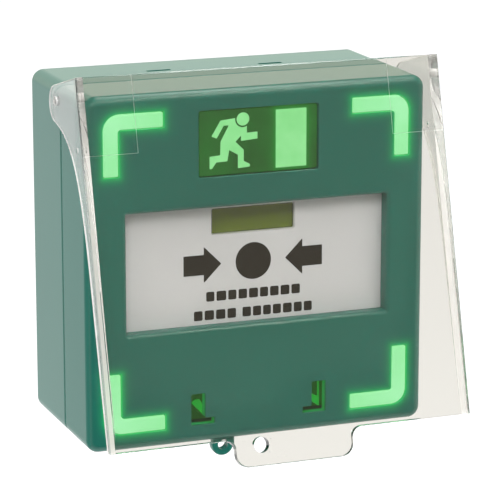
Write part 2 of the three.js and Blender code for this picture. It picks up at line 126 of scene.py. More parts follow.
BRACKET_OUT, BRACKET_ARM, BRACKET_BAR, BRACKET_R = 39.2, 15.1, 3.9, 4.0
SIGN_W, SIGN_H, SIGN_Z = 30.7, 16.2, 30.5
SIGN_FACE = FRONT + 0.5
LENS_BACK, LENS_FLANGE = INSIDE + 0.5, INSIDE + 0.3
DOOR_X, DOOR_W, DOOR_H = 8.35, 7.9, 14.2
OPENING_W, OPENING_H, OPENING_R = 67.2, 29.6, 1.1
PANEL_LOW, PANEL_HIGH = box_mm("press_panel")
PANEL_W = PANEL_HIGH.x - PANEL_LOW.x
PANEL_H = PANEL_HIGH.z - PANEL_LOW.z
PANEL_Y = PANEL_LOW.y
PANEL_T = 1.6
WINDOW_W, WINDOW_H, WINDOW_Z = 21.5, 6.5, 10.45
SLOT_IN, SLOT_OUT, SLOT_FOOT = 13.9, 17.6, 11.5
SLOT_TOP, SLOT_BOTTOM, SLOT_FOOT_TOP = -31.0, -38.9, -37.2

# ------------------------------------------------------------------ outlines


def turned(arm, angle):
    """A flat vector turned counterclockwise, by an angle in radians."""
    sin, cos = math.sin(angle), math.cos(angle)
    return Vector((arm.x * cos - arm.y * sin, arm.x * sin + arm.y * cos))


def outward(along):
    """The outward side of an edge that runs counterclockwise."""
    return Vector((along.y, -along.x))


def outline(corners, grow=0.0, steps=6):
    """Points counterclockwise round a polygon with corners (x, z, radius), offset outwards by grow.

    The number of points doesn't depend on grow, so outlines of one shape can be joined into a skin.
    """
    points = []
    count = len(corners)
    for i in range(count):
        here = Vector(corners[i][:2])
        before = Vector(corners[i - 1][:2])
        after = Vector(corners[(i + 1) % count][:2])
        along_in, along_out = (here - before).normalized(), (after - here).normalized()
        out_in, out_out = outward(along_in), outward(along_out)
        spread = 1 + out_in.dot(out_out)
        corner = here + (out_in + out_out) * (grow / spread)
        turn = along_in.x * along_out.y - along_in.y * along_out.x
        radius = max(corners[i][2] + grow * math.copysign(1, turn), 0.0)
        half_angle = math.atan2(abs(turn), along_in.dot(along_out)) / 2
        reach = radius * math.tan(half_angle)
        start = corner - along_in * reach
        centre = start - out_in * math.copysign(radius, turn)
        for k in range(steps + 1):
            angle = math.copysign(2 * half_angle * k / steps, turn)
            points.append(centre + turned(start - centre, angle))
    return points


def rectangle(width, height, radius, x=0.0, z=0.0):
    w, h = width / 2, height / 2
    return [
        (x - w, z - h, radius),
        (x + w, z - h, radius),
        (x + w, z + h, radius),
        (x - w, z + h, radius),
    ]


def disc(radius, x=0.0, z=0.0):
    return rectangle(2 * radius, 2 * radius, radius, x, z)


def bracket(sx, sz, shrink=0.0):
    """Corner bracket in the quadrant of signs sx and sz."""
    out = BRACKET_OUT - shrink
    end = BRACKET_OUT - BRACKET_ARM + shrink
    inner = BRACKET_OUT - BRACKET_BAR + shrink
    points = [
        (out, end, 0.25),
        (out, out, BRACKET_R - shrink),
        (end, out, 0.25),
        (end, inner, 0.25),
        (inner, inner, 0.7 + shrink),
        (inner, end, 0.25),
    ]
    return mirrored(points, sx, sz)


def mirrored(points, sx, sz=1):
    """The outline in another quadrant, kept counterclockwise."""
    flipped = [(sx * x, sz * z, r) for x, z, r in points]
    return flipped if sx * sz > 0 else flipped[::-1]


def reset_slot(side):
    points = [
        (SLOT_OUT, SLOT_BOTTOM, 0.2),
        (SLOT_OUT, SLOT_TOP, 0.2),
        (SLOT_IN, SLOT_TOP, 0.2),
        (SLOT_IN, SLOT_FOOT_TOP, 0.2),
        (SLOT_FOOT, SLOT_FOOT_TOP, 0.2),
        (SLOT_FOOT, SLOT_BOTTOM, 0.2),
    ]
    return mirrored(points, side)


# ------------------------------------------------------------------ solids


def new_piece(name, vertices, faces):
    """A mesh object from vertices in millimetres, with its faces turned outwards."""
    mesh = bpy.data.meshes.new(name)
    mesh.from_pydata([Vector(v) * MM for v in vertices], [], faces)
    shape = bmesh.new()
    shape.from_mesh(mesh)
    bmesh.ops.remove_doubles(shape, verts=shape.verts, dist=1e-7)
    bmesh.ops.dissolve_degenerate(shape, dist=1e-7, edges=shape.edges)
    bmesh.ops.recalc_face_normals(shape, faces=shape.faces)
    if shape.calc_volume(signed=True) < 0:
        bmesh.ops.reverse_faces(shape, faces=shape.faces)
    shape.to_mesh(mesh)
    shape.free()
    piece = bpy.data.objects.new(name, mesh)
    bpy.context.scene.collection.objects.link(piece)
    return piece


def skin(name, rings):
    """Joins closed rings of equally many (x, y, z) points, and caps the first and last."""
    count = len(rings[0])
    vertices = [p for ring in rings for p in ring]
    faces = [list(range(count)), list(range((len(rings) - 1) * count, len(rings) * count))]
    for r in range(len(rings) - 1):
        for k in range(count):
            a, b = r * count + k, r * count + (k + 1) % count
            faces.append([a, b, b + count, a + count])
    return new_piece(name, vertices, faces)


def quarter(radius, steps):
    """Steps round an edge, from face to side: how far each lies behind the face and inside the side."""
    if not radius:
        return [(0.0, 0.0)]
    angles = [math.pi / 2 * k / steps for k in range(steps + 1)]
    return [(radius * (1 - math.cos(t)), radius * (1 - math.sin(t))) for t in angles]


def slab(name, corners, back, front, back_r=0.0, front_r=0.0, steps=6, edge_steps=4):
    """A plate of the given outline between two depths, with rounded edges."""
    stations = [(back - behind, -inside) for behind, inside in quarter(back_r, edge_steps)]
    stations += [(front + behind, -inside) for behind, inside in quarter(front_r, edge_steps)[::-1]]
    rings = [[(p.x, y, p.y) for p in outline(corners, grow, steps)] for y, grow in stations]
    return skin(name, rings)


def mouth(name, corners, back, front, lip_r, steps=6, lip_steps=5):
    """A cutter for an opening in a front face, with its rim rounded."""
    stations = [(back, 0.0)]
    stations += [(front + behind, inside) for behind, inside in quarter(lip_r, lip_steps)[::-1]]
    stations.append((front - 1.0, lip_r))
    rings = [[(p.x, y, p.y) for p in outline(corners, grow, steps)] for y, grow in stations]
    return skin(name, rings)


def block(name, low, high):
    """A box with sharp edges."""
    width, height = high[0] - low[0], high[2] - low[2]
    corners = rectangle(width, height, 0.0, low[0] + width / 2, low[2] + height / 2)
    return slab(name, corners, high[1], low[1], steps=1)


def lathe(name, profile, centre, axis, sides=32):
    """A turned piece: profile is (distance along the axis, radius), axis is "x", "y" or "z"."""
    order = {"x": (1, 2, 0), "y": (2, 0, 1), "z": (0, 1, 2)}[axis]
    rings = []
    for along, radius in profile:
        ring = []
        for k in range(sides):
            angle = 2 * math.pi * k / sides
            local = (radius * math.cos(angle), radius * math.sin(angle), along)
            point = list(centre)
            for value, place in zip(local, order):
                point[place] += value
            ring.append(tuple(point))
        rings.append(ring)
    return skin(name, rings)


def combine(target, others, operation):
    """Joins or cuts the target with other pieces, which are used up."""
    for other in others:
        step = target.modifiers.new(operation, "BOOLEAN")
        step.object = other
        step.operation = operation
        step.solver = "EXACT"
    depsgraph = bpy.context.evaluated_depsgraph_get()
    mesh = bpy.data.meshes.new_from_object(target.evaluated_get(depsgraph))
    target.modifiers.clear()
    target.data = mesh
    for other in others:
        bpy.data.objects.remove(other)
    return target


def join(target, *others):
    return combine(target, others, "UNION")


def cut(target, *others):
    return combine(target, others, "DIFFERENCE")


def smooth(piece, sharp_deg=32.0):
    """Smooth shading that keeps flat faces flat and hard edges hard."""
    mesh = piece.data
    mesh.polygons.foreach_set("use_smooth", [True] * len(mesh.polygons))
    mesh.set_sharp_from_angle(angle=math.radians(sharp_deg))
    weighted = piece.modifiers.new("weighted_normals", "WEIGHTED_NORMAL")
    weighted.keep_sharp = True
    weighted.weight = 60


def dress(piece, body, slot, look, *replaced):
    """Finishes a piece: shading, material, the body it moves with and the CAD nodes it stands for."""
    smooth(piece)
    piece.data.materials.append(look)
    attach(piece, body)
    if replaced:
        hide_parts(*replaced)


# ------------------------------------------------------------------ material kit


class Look:
    """A node material with a Principled shader, and short ways to add what drives it."""

    def __init__(self, name, base, roughness, **settings):
        self.material = bpy.data.materials.new(name)
        self.material.use_nodes = True
        self.tree = self.material.node_tree
        self.shader = self.tree.nodes["Principled BSDF"]
        self.set("Base Color", (*base, 1.0))
        self.set("Roughness", roughness)
        for key, value in settings.items():
            self.set(key.replace("_", " "), value)
        self.place = self.add("ShaderNodeTexCoord").outputs["Object"]

    def set(self, socket, value):
        self.shader.inputs[socket].default_value = value

    def add(self, kind, **settings):
        node = self.tree.nodes.new(kind)
        for key, value in settings.items():
            setattr(node, key, value)
        return node

    def feed(self, socket, value):
        """Links an output to an input, or sets the input's number."""
        if isinstance(value, bpy.types.NodeSocket):
            self.tree.links.new(value, socket)
        else:
            socket.default_value = value

    def math(self, operation, *values, clamp=False):
        node = self.add("ShaderNodeMath", operation=operation, use_clamp=clamp)
        for socket, value in zip(node.inputs, values):
            self.feed(socket, value)
        return node.outputs[0]

    def noise(self, scale, detail=3.0, roughness=0.5, stretch=None):
        """Noise between 0 and 1 whose grains are about 1 / scale metres wide."""
        node = self.add("ShaderNodeTexNoise")
        vector = self.place
        if stretch:
            mapping = self.add("ShaderNodeMapping")
            self.feed(mapping.inputs["Vector"], vector)
            mapping.inputs["Scale"].default_value = stretch
            vector = mapping.outputs[0]
        self.feed(node.inputs["Vector"], vector)
        node.inputs["Scale"].default_value = scale
        node.inputs["Detail"].default_value = detail
        node.inputs["Roughness"].default_value = roughness
        return node.outputs[0]

    def ramp(self, value, start, end, low=0.0, high=1.0):
        """Low at start, high at end, and in proportion between them."""
        node = self.add("ShaderNodeMapRange")
        self.feed(node.inputs["Value"], value)
        limits = {"From Min": start, "From Max": end, "To Min": low, "To Max": high}
        for name, number in limits.items():
            node.inputs[name].default_value = number
        return node.outputs[0]

    def spread(self, value, low, high):
        """Maps 0.3 to 0.7 of a noise onto low to high."""
        return self.ramp(value, 0.3, 0.7, low, high)

    def tint(self, value, dark, light):
        """A colour between dark and light, by a value from 0 to 1."""
        node = self.add("ShaderNodeMix", data_type="RGBA")
        self.feed(node.inputs["Factor"], value)
        self.feed(node.inputs["A"], (*dark, 1.0))
        self.feed(node.inputs["B"], (*light, 1.0))
        return node.outputs["Result"]

    def bump(self, height, depth_mm, strength=1.0):
        node = self.add("ShaderNodeBump")
        node.inputs["Distance"].default_value = depth_mm * MM
        node.inputs["Strength"].default_value = strength
        self.feed(node.inputs["Height"], height)
        self.feed(self.shader.inputs["Normal"], node.outputs[0])

    def axes(self):
        """Object coordinates in millimetres."""
        scaled = self.add("ShaderNodeVectorMath", operation="SCALE")
        self.feed(scaled.inputs[0], self.place)
        scaled.inputs["Scale"].default_value = 1 / MM
        parts = self.add("ShaderNodeSeparateXYZ")
        self.feed(parts.inputs[0], scaled.outputs[0])
        return parts.outputs

    def away_beyond(self, x, z, corner):
        """Distance from the quarter plane below and left of a corner, in millimetres."""
        beyond = [self.math("MAXIMUM", self.math("SUBTRACT", v, c), 0.0) for v, c in zip((x, z), corner)]
        squares = [self.math("MULTIPLY", b, b) for b in beyond]
        return self.math("SQRT", self.math("ADD", *squares))

    def away_from_bar(self, x, z, centre, half_size):
        """Distance from a rectangle, in millimetres."""
        offs = [self.math("ABSOLUTE", self.math("SUBTRACT", v, c)) for v, c in zip((x, z), centre)]
        return self.away_beyond(*offs, half_size)

    def away_from_brackets(self):
        """Distance from the nearest lit corner bracket, in millimetres."""
        x, _, z = (self.math("ABSOLUTE", axis) for axis in self.axes())
        middle, long_middle = BRACKET_OUT - BRACKET_BAR / 2, BRACKET_OUT - BRACKET_ARM / 2
        half, long_half = BRACKET_BAR / 2, BRACKET_ARM / 2
        upright = self.away_from_bar(x, z, (middle, long_middle), (half, long_half))
        level = self.away_from_bar(x, z, (long_middle, middle), (long_half, half))
        inside_round = (BRACKET_OUT - BRACKET_R,) * 2
        round_corner = self.math("SUBTRACT", self.away_beyond(x, z, inside_round), BRACKET_R)
        return self.math("MAXIMUM", self.math("MINIMUM", upright, level), round_corner)

    def fade(self, distance, reach):
        """1 at no distance, falling off over the given reach."""
        return self.math("EXPONENT", self.math("DIVIDE", distance, -reach))


def moulded(name, base, roughness, grain_mm=0.3, vary=0.02, depth_mm=0.0012, **settings):
    """Moulded plastic: slight tone and gloss changes, and a fine spark-eroded grain."""
    look = Look(name, base, roughness, **settings)
    cloud = look.noise(1 / (25 * MM), 1.0)
    dark = tuple(c * (1 - vary) for c in base)
    light = tuple(min(c * (1 + vary), 1.0) for c in base)
    look.feed(look.shader.inputs["Base Color"], look.tint(look.spread(cloud, 0.0, 1.0), dark, light))
    grain = look.noise(1 / (grain_mm * MM), 4.0, 0.6)
    look.feed(look.shader.inputs["Roughness"], look.spread(grain, roughness * 0.95, roughness * 1.06))
    look.bump(grain, depth_mm)
    return look


def drawn_metal(name, base, roughness, stretch):
    """Plated or drawn metal with fine lines along one way."""
    look = Look(name, base, roughness, Metallic=1.0)
    lines = look.noise(1 / (0.4 * MM), 4.0, 0.7, stretch)
    look.feed(look.shader.inputs["Roughness"], look.spread(lines, roughness * 0.7, roughness * 1.4))
    look.bump(lines, 0.003)
    return look


GREEN = (0.014, 0.151, 0.119)


def lit_housing(name):
    """Housing plastic that the lamps shine through round each bracket and inside the reset slots."""
    look = moulded(name, GREEN, 0.24, IOR=1.45)
    x, y, z = look.axes()
    # The green emission round each bracket and inside the reset slots is painted light from the lamps.
    halo_mm, halo = 0.75, 0.48
    near = look.math("MULTIPLY", look.fade(look.away_from_brackets(), halo_mm), halo)
    on_front = look.ramp(y, FRONT + 1.4, FRONT + 0.4)
    glow = look.math("MULTIPLY", near, on_front)
    slot_glow_mm, slot_glow = 0.5, 0.2
    middle_x, half_x = (SLOT_FOOT + SLOT_OUT) / 2, (SLOT_OUT - SLOT_FOOT) / 2
    middle_z, half_z = (SLOT_TOP + SLOT_BOTTOM) / 2, (SLOT_TOP - SLOT_BOTTOM) / 2
    to_slot = look.away_from_bar(look.math("ABSOLUTE", x), z, (middle_x, middle_z), (half_x, half_z))
    inside = look.ramp(y, FRONT + 0.2, FRONT + 1.0)
    in_slot = look.math("MULTIPLY", look.fade(to_slot, slot_glow_mm), inside)
    glow = look.math("ADD", glow, look.math("MULTIPLY", in_slot, slot_glow))
    look.set("Emission Color", (0.0, 1.0, 0.08, 1.0))
    look.feed(look.shader.inputs["Emission Strength"], glow)
    return look.material


def lamp_lens():
    """Milky light guide, brightest by its lamp."""
    look = Look("lit_lens_look", (0.05, 0.15, 0.07), 0.3, IOR=1.49)
    x, _, z = (look.math("ABSOLUTE", axis) for axis in look.axes())
    lamp_at, lamp_half = 36.6, 0.1
    core = look.fade(look.away_from_bar(x, z, (lamp_at,) * 2, (lamp_half,) * 2), 9.0)
    cloud = look.spread(look.noise(1 / (2.5 * MM), 2.0), 0.0, 0.2)
    level = look.math("ADD", look.math("MULTIPLY", core, 0.8), cloud, clamp=True)
    colour = look.tint(level, (0.26, 0.84, 0.35), (0.40, 0.96, 0.53))
    look.feed(look.shader.inputs["Emission Color"], colour)
    look.set("Emission Strength", 1.2)
    look.bump(look.noise(1 / (0.6 * MM), 2.0), 0.004)
    return look.material


def sign_glass():
    """Dark green sign lens with a dim, even glow, stronger round the lit doorway."""
    look = Look("sign_lens_look", (0.010, 0.070, 0.014), 0.22, IOR=1.49)
    x, _, z = look.axes()
    to_door = look.away_from_bar(x, z, (DOOR_X, SIGN_Z), (DOOR_W / 2, DOOR_H / 2))
    cloud = look.spread(look.noise(1 / (9 * MM), 2.0), 0.0, 0.25)
    level = look.math("ADD", look.math("MULTIPLY", look.fade(to_door, 0.7), 0.75), cloud, clamp=True)
    colour = look.tint(level, (0.0, 0.050, 0.0), (0.0, 0.28, 0.02))
    look.feed(look.shader.inputs["Emission Color"], colour)
    look.set("Emission Strength", 1.0)
    look.bump(look.noise(1 / (0.3 * MM), 3.0), 0.002)
    return look.material


def sign_light():
    """Lit figure and doorway."""
    look = Look("sign_light_look", (0.10, 0.20, 0.11), 0.3)
    cloud = look.spread(look.noise(1 / (5 * MM), 2.0), 0.0, 1.0)
    colour = look.tint(cloud, (0.22, 0.81, 0.27), (0.30, 0.91, 0.36))
    look.feed(look.shader.inputs["Emission Color"], colour)
    look.set("Emission Strength", 1.0)
    return look.material


def clear_plastic(name, base, roughness=0.0, ior=1.585):
    """Clear polycarbonate. Light from lamps goes through it, less so at a grazing angle."""
    look = Look(name, base, roughness, IOR=ior, Transmission_Weight=1.0)
    ripple = look.noise(1 / (9 * MM), 2.0)
    look.bump(ripple, 0.02, 0.25)
    path = look.add("ShaderNodeLightPath")
    facing = look.add("ShaderNodeLayerWeight")
    facing.inputs["Blend"].default_value = 0.3
    open_way = look.add("ShaderNodeBsdfTransparent")
    passing = look.tint(facing.outputs["Facing"], (0.97, 0.965, 0.96), (0.35, 0.35, 0.35))
    look.feed(open_way.inputs["Color"], passing)
    mix = look.add("ShaderNodeMixShader")
    look.feed(mix.inputs["Fac"], path.outputs["Is Shadow Ray"])
    look.feed(mix.inputs[1], look.shader.outputs[0])
    look.feed(mix.inputs[2], open_way.outputs[0])
    look.feed(look.tree.nodes["Material Output"].inputs["Surface"], mix.outputs[0])
    return look


def scuffed(look):
    """Adds short, fine scratches to clear plastic, as fingers and tools leave beside the tab."""
    x, _, z = look.axes()
    patch_centre, patch_half = (SEAL_X - 4, SEAL_Z + 5), (11, 2)
    near = look.fade(look.away_from_bar(x, z, patch_centre, patch_half), 4.0)
    scratches = look.ramp(look.noise(1 / (0.9 * MM), 3.0, 0.6, (1, 1, 2.5)), 0.66, 0.74)
    depth = look.math("MULTIPLY", near, scratches)
    look.feed(look.shader.inputs["Roughness"], look.math("MULTIPLY", depth, 0.9))
    return look


def witness():
    """Raised mould line, which shows because it bends the light a little differently."""
    # The slight white in its finish is a painted highlight for the light the line bends.
    look = Look("witness_line_look", (0.96, 0.96, 0.95), 0.5, IOR=1.5, Transmission_Weight=0.85)
    return look.material


def frosted_edge_painted_glow():
    """Cut edges of the cover, which scatter the light that travels inside the sheet."""
    look = Look("cover_edge_look", (0.78, 0.77, 0.76), 0.45, IOR=1.5, Transmission_Weight=0.3)
    # The faint white emission is a painted glow for that light; the roughness and part transmission are
    # the edges' own frosting.
    look.set("Emission Color", (1.0, 0.98, 0.97, 1.0))
    look.set("Emission Strength", 0.09)
    saw = look.noise(1 / (0.5 * MM), 4.0, 0.6)
    look.feed(look.shader.inputs["Roughness"], look.spread(saw, 0.35, 0.6))
    look.bump(saw, 0.01)
    return look.material


def circuit_board():
    """Solder mask with copper tracks showing through as lighter lines."""
    look = Look("circuit_board_look", (0.02, 0.12, 0.05), 0.3, IOR=1.5)
    tracks = look.add("ShaderNodeTexBrick")
    look.feed(tracks.inputs["Vector"], look.place)
    tracks.inputs["Scale"].default_value = 1 / (6 * MM)
    tracks.inputs["Mortar Size"].default_value = 0.04
    tracks.inputs["Color1"].default_value = (0.015, 0.10, 0.04, 1)
    tracks.inputs["Color2"].default_value = (0.02, 0.13, 0.05, 1)
    tracks.inputs["Mortar"].default_value = (0.05, 0.24, 0.10, 1)
    look.feed(look.shader.inputs["Base Color"], tracks.outputs["Color"])
    look.bump(tracks.outputs["Fac"], 0.03)
    return look.material


LOOKS = {
    "housing": lit_housing("front_housing_look"),
    # A copy of the housing plastic with weaker reflection, for the housing's side faces only, so that
    # they read darker: painted shade.
    "housing_side_painted_shade": moulded(
        "housing_side_look",
        GREEN,
        0.24,
        IOR=1.45,
        Specular_IOR_Level=0.2,
    ).material,
    "back_box": moulded("back_box_look", GREEN, 0.32, IOR=1.5).material,
    "lens": lamp_lens(),
    "sign": sign_glass(),
    "sign_light": sign_light(),
    "cover": scuffed(clear_plastic("clear_cover_look", (0.77, 0.755, 0.705))).material,
    "cover_side": clear_plastic("cover_side_look", (0.92, 0.91, 0.90)).material,
    # Dark grey-green tint for the cover's outer front corners: a painted dark edge line.
    "cover_corner_painted_dark": clear_plastic("cover_corner_look", (0.30, 0.36, 0.34)).material,
    "cover_edge": frosted_edge_painted_glow(),
    "witness": witness(),
    "window": clear_plastic("flag_window_look", (0.90, 0.91, 0.84), 0.02, 1.49).material,
    "panel": moulded("panel_white_look", (0.75, 0.765, 0.825), 0.38).material,
    "print": moulded("print_black_look", (0.016, 0.014, 0.010), 0.5, Specular_IOR_Level=0.25).material,
    "flag": moulded("flag_olive_look", (0.182, 0.272, 0.008), 0.45).material,
    "alarm": moulded("alarm_yellow_look", (0.95, 0.74, 0.03), 0.45).material,
    # The faint green emission of the chassis is painted light from the lamps inside the case.
    "chassis": moulded(
        "chassis_dark_painted_glow_look",
        (0.002, 0.045, 0.015),
        0.45,
        Specular_IOR_Level=0.15,
        Emission_Color=(0.0, 0.07, 0.0, 1.0),
        Emission_Strength=1.0,
    ).material,
    # The slider's faint green emission is painted light from the lamps inside the case.
    "slider": moulded(
        "slider_green_painted_glow_look",
        (0.002, 0.055, 0.010),
        0.35,
        Specular_IOR_Level=0.15,
        Emission_Color=(0.0, 0.07, 0.0, 1.0),
        Emission_Strength=1.0,
    ).material,
    # A bright, glowing copy of the slider's green for the ribs: painted light where the lamps light its
    # ramps.
    "slider_rib_painted_light": moulded(
        "slider_rib_look",
        (0.01, 0.30, 0.04),
        0.3,
        Emission_Color=(0.0, 0.36, 0.02, 1.0),
        Emission_Strength=0.7,
    ).material,
    "screw": drawn_metal("screw_steel_look", (0.62, 0.62, 0.63), 0.28, (1, 1, 1)).material,
    "spring": drawn_metal("spring_steel_look", (0.55, 0.55, 0.57), 0.3, (1, 1, 6)).material,
    "board": circuit_board(),
    "terminal": moulded("terminal_blue_look", (0.03, 0.13, 0.32), 0.45).material,
    "lamp": moulded("lamp_look", (0.75, 0.85, 0.70), 0.25).material,
    "switch": moulded("switch_black_look", (0.012, 0.012, 0.014), 0.45).material,
    "plunger": moulded("plunger_red_look", (0.42, 0.03, 0.02), 0.4).material,
}

# ------------------------------------------------------------------ case


def make_back_box():
    """Square box with a cable entry, two fixing slots, snap slots above and screw holes below."""
    slot_w, slot_d = 6.2, 1.5
    shell = slab("box_shell", rectangle(CASE, CASE, CORNER_R), 0.0, PART_BACK, 0.7, 0.5, 10)
    inner = CASE - 2 * BOX_WALL
    cutters = [slab("hollow", rectangle(inner, inner, 2.0), -PLATE, PART_BACK - 1, 0.8, 0.0)]
    cutters.append(lathe("cable_entry", [(-4, 9), (1, 9)], (0, 0, 20), "y", 48))
    for side in SIDES:
        cutters.append(slab("fixing", rectangle(9, 4.4, 2.1, side * FIXING_X), 1, -4))
        low = (side * SNAP_X - slot_w / 2, SNAP_Y - slot_d / 2, HALF - 3.5)
        high = (side * SNAP_X + slot_w / 2, SNAP_Y + slot_d / 2, HALF + 1)
        cutters.append(block("snap_slot", low, high))
        for radius, depth in ((1.7, 4.0), (3.1, 1.0)):
            profile = [(-HALF - 1, radius), (-HALF + depth, radius)]
            cutters.append(lathe("screw_hole", profile, (side * CLOSING_X, CLOSING_Y, 0), "z"))
    shell = cut(shell, *cutters)
    dress(shell, "case", "housing_green", LOOKS["back_box"], "back_box")


def make_eyelet():
    """Sealing eyelet under the front housing: a flat ring on a short web."""
    back, front, hole_r = -38.8, -41.2, 1.3
    z, radius, rooted = SEAL_Z - 0.2, 2.8, -HALF + 0.6
    left, right = SEAL_X - radius, SEAL_X + radius
    web = [
        (left, z, 0.0),
        (left, z - radius, radius - 0.01),
        (right, z - radius, radius - 0.01),
        (right, z, 0.0),
        (right, rooted, 0.0),
        (left, rooted, 0.0),
    ]
    ring = slab("eyelet", web, back, front, 0.45, 0.45, 10)
    hole = lathe("eyelet_hole", [(front - 0.8, hole_r), (back + 0.8, hole_r)], (SEAL_X, 0, z), "y")
    return cut(ring, hole)


def make_front_housing():
    """Front shell with the openings, a lip that enters the back box, snap tongues and the eyelet."""
    square = rectangle(CASE, CASE, CORNER_R)
    shell = slab("housing_shell", square, PART_FRONT, FRONT, 0.5, FRONT_EDGE_R, 10, 8)
    inner = CASE - 2 * WALL
    shell = cut(shell, slab("hollow", rectangle(inner, inner, 1.5), PART_FRONT + 1, INSIDE))
    behind_panel = rectangle(PANEL_W - 0.6, PANEL_H - 0.6, 1)
    panel_wall = slab("panel_wall", behind_panel, PANEL_Y - 0.4, INSIDE - 1)
    tongues = []
    tongue_half = 2.6
    for side in SIDES:
        left, right = side * SNAP_X - tongue_half, side * SNAP_X + tongue_half
        tongues.append(block("tongue", (left, -26, 39), (right, SNAP_Y + 1.2, 40.9)))
        tongues.append(block("hook", (left, SNAP_Y - 0.5, 40.5), (right, SNAP_Y + 0.5, 43.2)))
    lip_side, lip_t = inner + 0.4, 1.6
    lip_hole = lip_side - 2 * lip_t
    lip_back, lip_front = -21.55, -27.15
    lip = slab("lip", rectangle(lip_side, lip_side, 1.7), lip_back, lip_front, 0.3)
    lip = cut(lip, slab("lip_hole", rectangle(lip_hole, lip_hole, 1.2), 0, -30))
    shell = join(shell, panel_wall, make_eyelet(), lip, *tongues)
    through = INSIDE + PLATE
    cutters = [mouth("panel_mouth", rectangle(OPENING_W, OPENING_H, 0.2), through, FRONT, OPENING_R)]
    sign = rectangle(SIGN_W, SIGN_H, 0.6, 0, SIGN_Z)
    cutters.append(mouth("sign_mouth", sign, through, FRONT, 0.25))
    for side in SIDES:
        cutters.append(mouth("slot_mouth", reset_slot(side), through, FRONT, 0.15, 3, 3))
        for sz in SIDES:
            cutters.append(mouth("bracket_mouth", bracket(side, sz), through, FRONT, 0.2, 8, 3))
        reach = [(side * (HALF - 2), PIN_R + 0.3), (side * (HALF + 1), PIN_R + 0.3)]
        cutters.append(lathe("pin_hole", reach, (0, HINGE_Y, HINGE_Z), "x"))
    shell = cut(shell, *cutters)
    dress(shell, "case", "housing_green", LOOKS["housing"], "front_housing")
    shell.data.materials.append(LOOKS["housing_side_painted_shade"])
    # The side faces take the weaker-reflecting copy, a painted shade.
    for face in shell.data.polygons:
        if abs(face.normal.x) > 0.7 and abs(face.center.x) / MM > HALF - 0.9:
            face.material_index = 1


# ------------------------------------------------------------------ lenses and sign


def make_corner_lenses():
    flange_t = 2.6
    for sx in SIDES:
        for sz in SIDES:
            place = ("bottom_" if sz < 0 else "top_") + SIDE_NAMES[sx]
            lens = slab("lens_" + place, bracket(sx, sz, 0.2), LENS_BACK, FRONT, 0.0, 0.3, 8)
            rim = bracket(sx, sz, -0.5)
            flange = slab("flange", rim, LENS_FLANGE + flange_t, LENS_FLANGE, 0.2, 0.2)
            join(lens, flange)
            dress(lens, "case", "lit_lens", LOOKS["lens"], "corner_lens_" + place)


def make_sign():
    window = rectangle(SIGN_W - 0.5, SIGN_H - 0.5, 0.5, 0, SIGN_Z)
    lens = slab("sign_window", window, LENS_BACK, SIGN_FACE, 0.0, 0.2)
    rim = rectangle(SIGN_W + 2, SIGN_H + 2, 1, 0, SIGN_Z)
    flange_t = 1.8
    flange = slab("flange", rim, LENS_FLANGE + flange_t, LENS_FLANGE, 0.2, 0.2)
    join(lens, flange)
    dress(lens, "case", "sign_lens", LOOKS["sign"], "sign_lens")

    back, front = SIGN_FACE + 0.05, SIGN_FACE - 0.04
    door = slab("sign_door", rectangle(DOOR_W, DOOR_H, 0.15, DOOR_X, SIGN_Z), back, front)
    head_at = (-4.0, 0, SIGN_Z + 5.4)
    head = lathe("sign_head", [(back, 1.6), (front, 1.6)], head_at, "y", 40)
    # One plain figure running to the right, drawn from its rear hand round to the front foot and back.
    figure = [
        (-12.0, 1.7),
        (-10.7, 1.1),
        (-8.9, 4.1),
        (-7.6, 4.1),
        (-9.7, 0.3),
        (-9.8, -3.0),
        (-12.5, -3.2),
        (-12.5, -6.2),
        (-11.9, -6.2),
        (-10.8, -4.7),
        (-8.0, -4.6),
        (-7.5, -1.9),
        (-5.3, -3.2),
        (-5.3, -6.5),
        (-2.3, -6.3),
        (-2.2, -5.7),
        (-3.8, -4.8),
        (-3.8, -2.1),
        (-5.9, 0.0),
        (-4.5, 1.4),
        (-4.5, 0.1),
        (-0.3, 0.4),
        (-0.3, 2.1),
        (-3.0, 2.0),
        (-3.0, 4.3),
        (-5.4, 5.8),
        (-9.7, 5.4),
    ]
    body = slab("sign_figure", [(x, SIGN_Z + z, 0.08) for x, z in figure], back, front, steps=2)
    neck = lathe("neck", [(back + 1, 2.0), (front - 1, 2.0)], head_at, "y", 40)
    cut(body, neck)
    for piece in (door, head, body):
        dress(piece, "case", "lit_lens", LOOKS["sign_light"])


# ------------------------------------------------------------------ cover


def to_cover_place(piece):
    """Turns a piece drawn shut, from the hinge axis, to where the cover stands at rest."""
    turn = Matrix.Rotation(-OPEN_ANGLE, 4, "X")
    shift = Matrix.Translation(Vector((0, HINGE_Y, HINGE_Z)) * MM)
    piece.data.transform(shift @ turn)


def bezier(a, b, c, d, count):
    points = []
    for k in range(1, count + 1):
        t = k / count
        weights = ((1 - t) ** 3, 3 * t * (1 - t) ** 2, 3 * t * t * (1 - t), t**3)
        points.append(sum((Vector(p) * w for p, w in zip((a, b, c, d), weights)), Vector((0, 0))))
    return points


